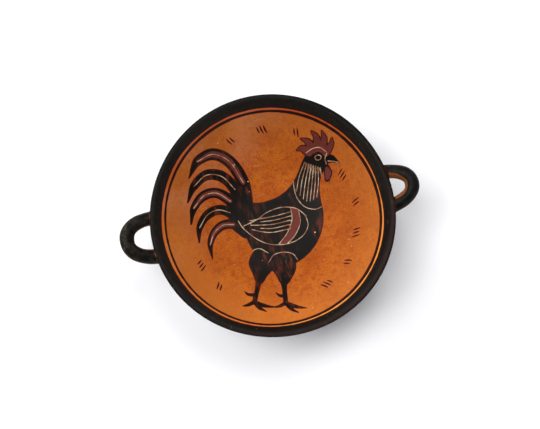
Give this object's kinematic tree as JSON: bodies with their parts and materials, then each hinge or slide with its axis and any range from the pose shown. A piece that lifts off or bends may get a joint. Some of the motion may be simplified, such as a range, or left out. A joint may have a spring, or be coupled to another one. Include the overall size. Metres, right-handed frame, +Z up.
{
  "type": "kylix cup",
  "caption": "Stemmed clay drinking cup: a wide shallow bowl on a short stem and a disc foot, with a loop handle at each side, black slip and a painted round picture inside.",
  "frame": {"origin": "middle of the foot's underside, on the axis of the bowl", "axes": "+Z up out of the bowl, +X towards the shorter of the two handles"},
  "size_m": [0.2478, 0.2, 0.0844],
  "materials": {
    "slipped_clay": "fired orange clay, smoothed to a low sheen, under satin black slip on the lip, handles and outside"
  },
  "bodies": {
    "root": {"kylix": "slipped_clay"}
  },
  "joints": []
}
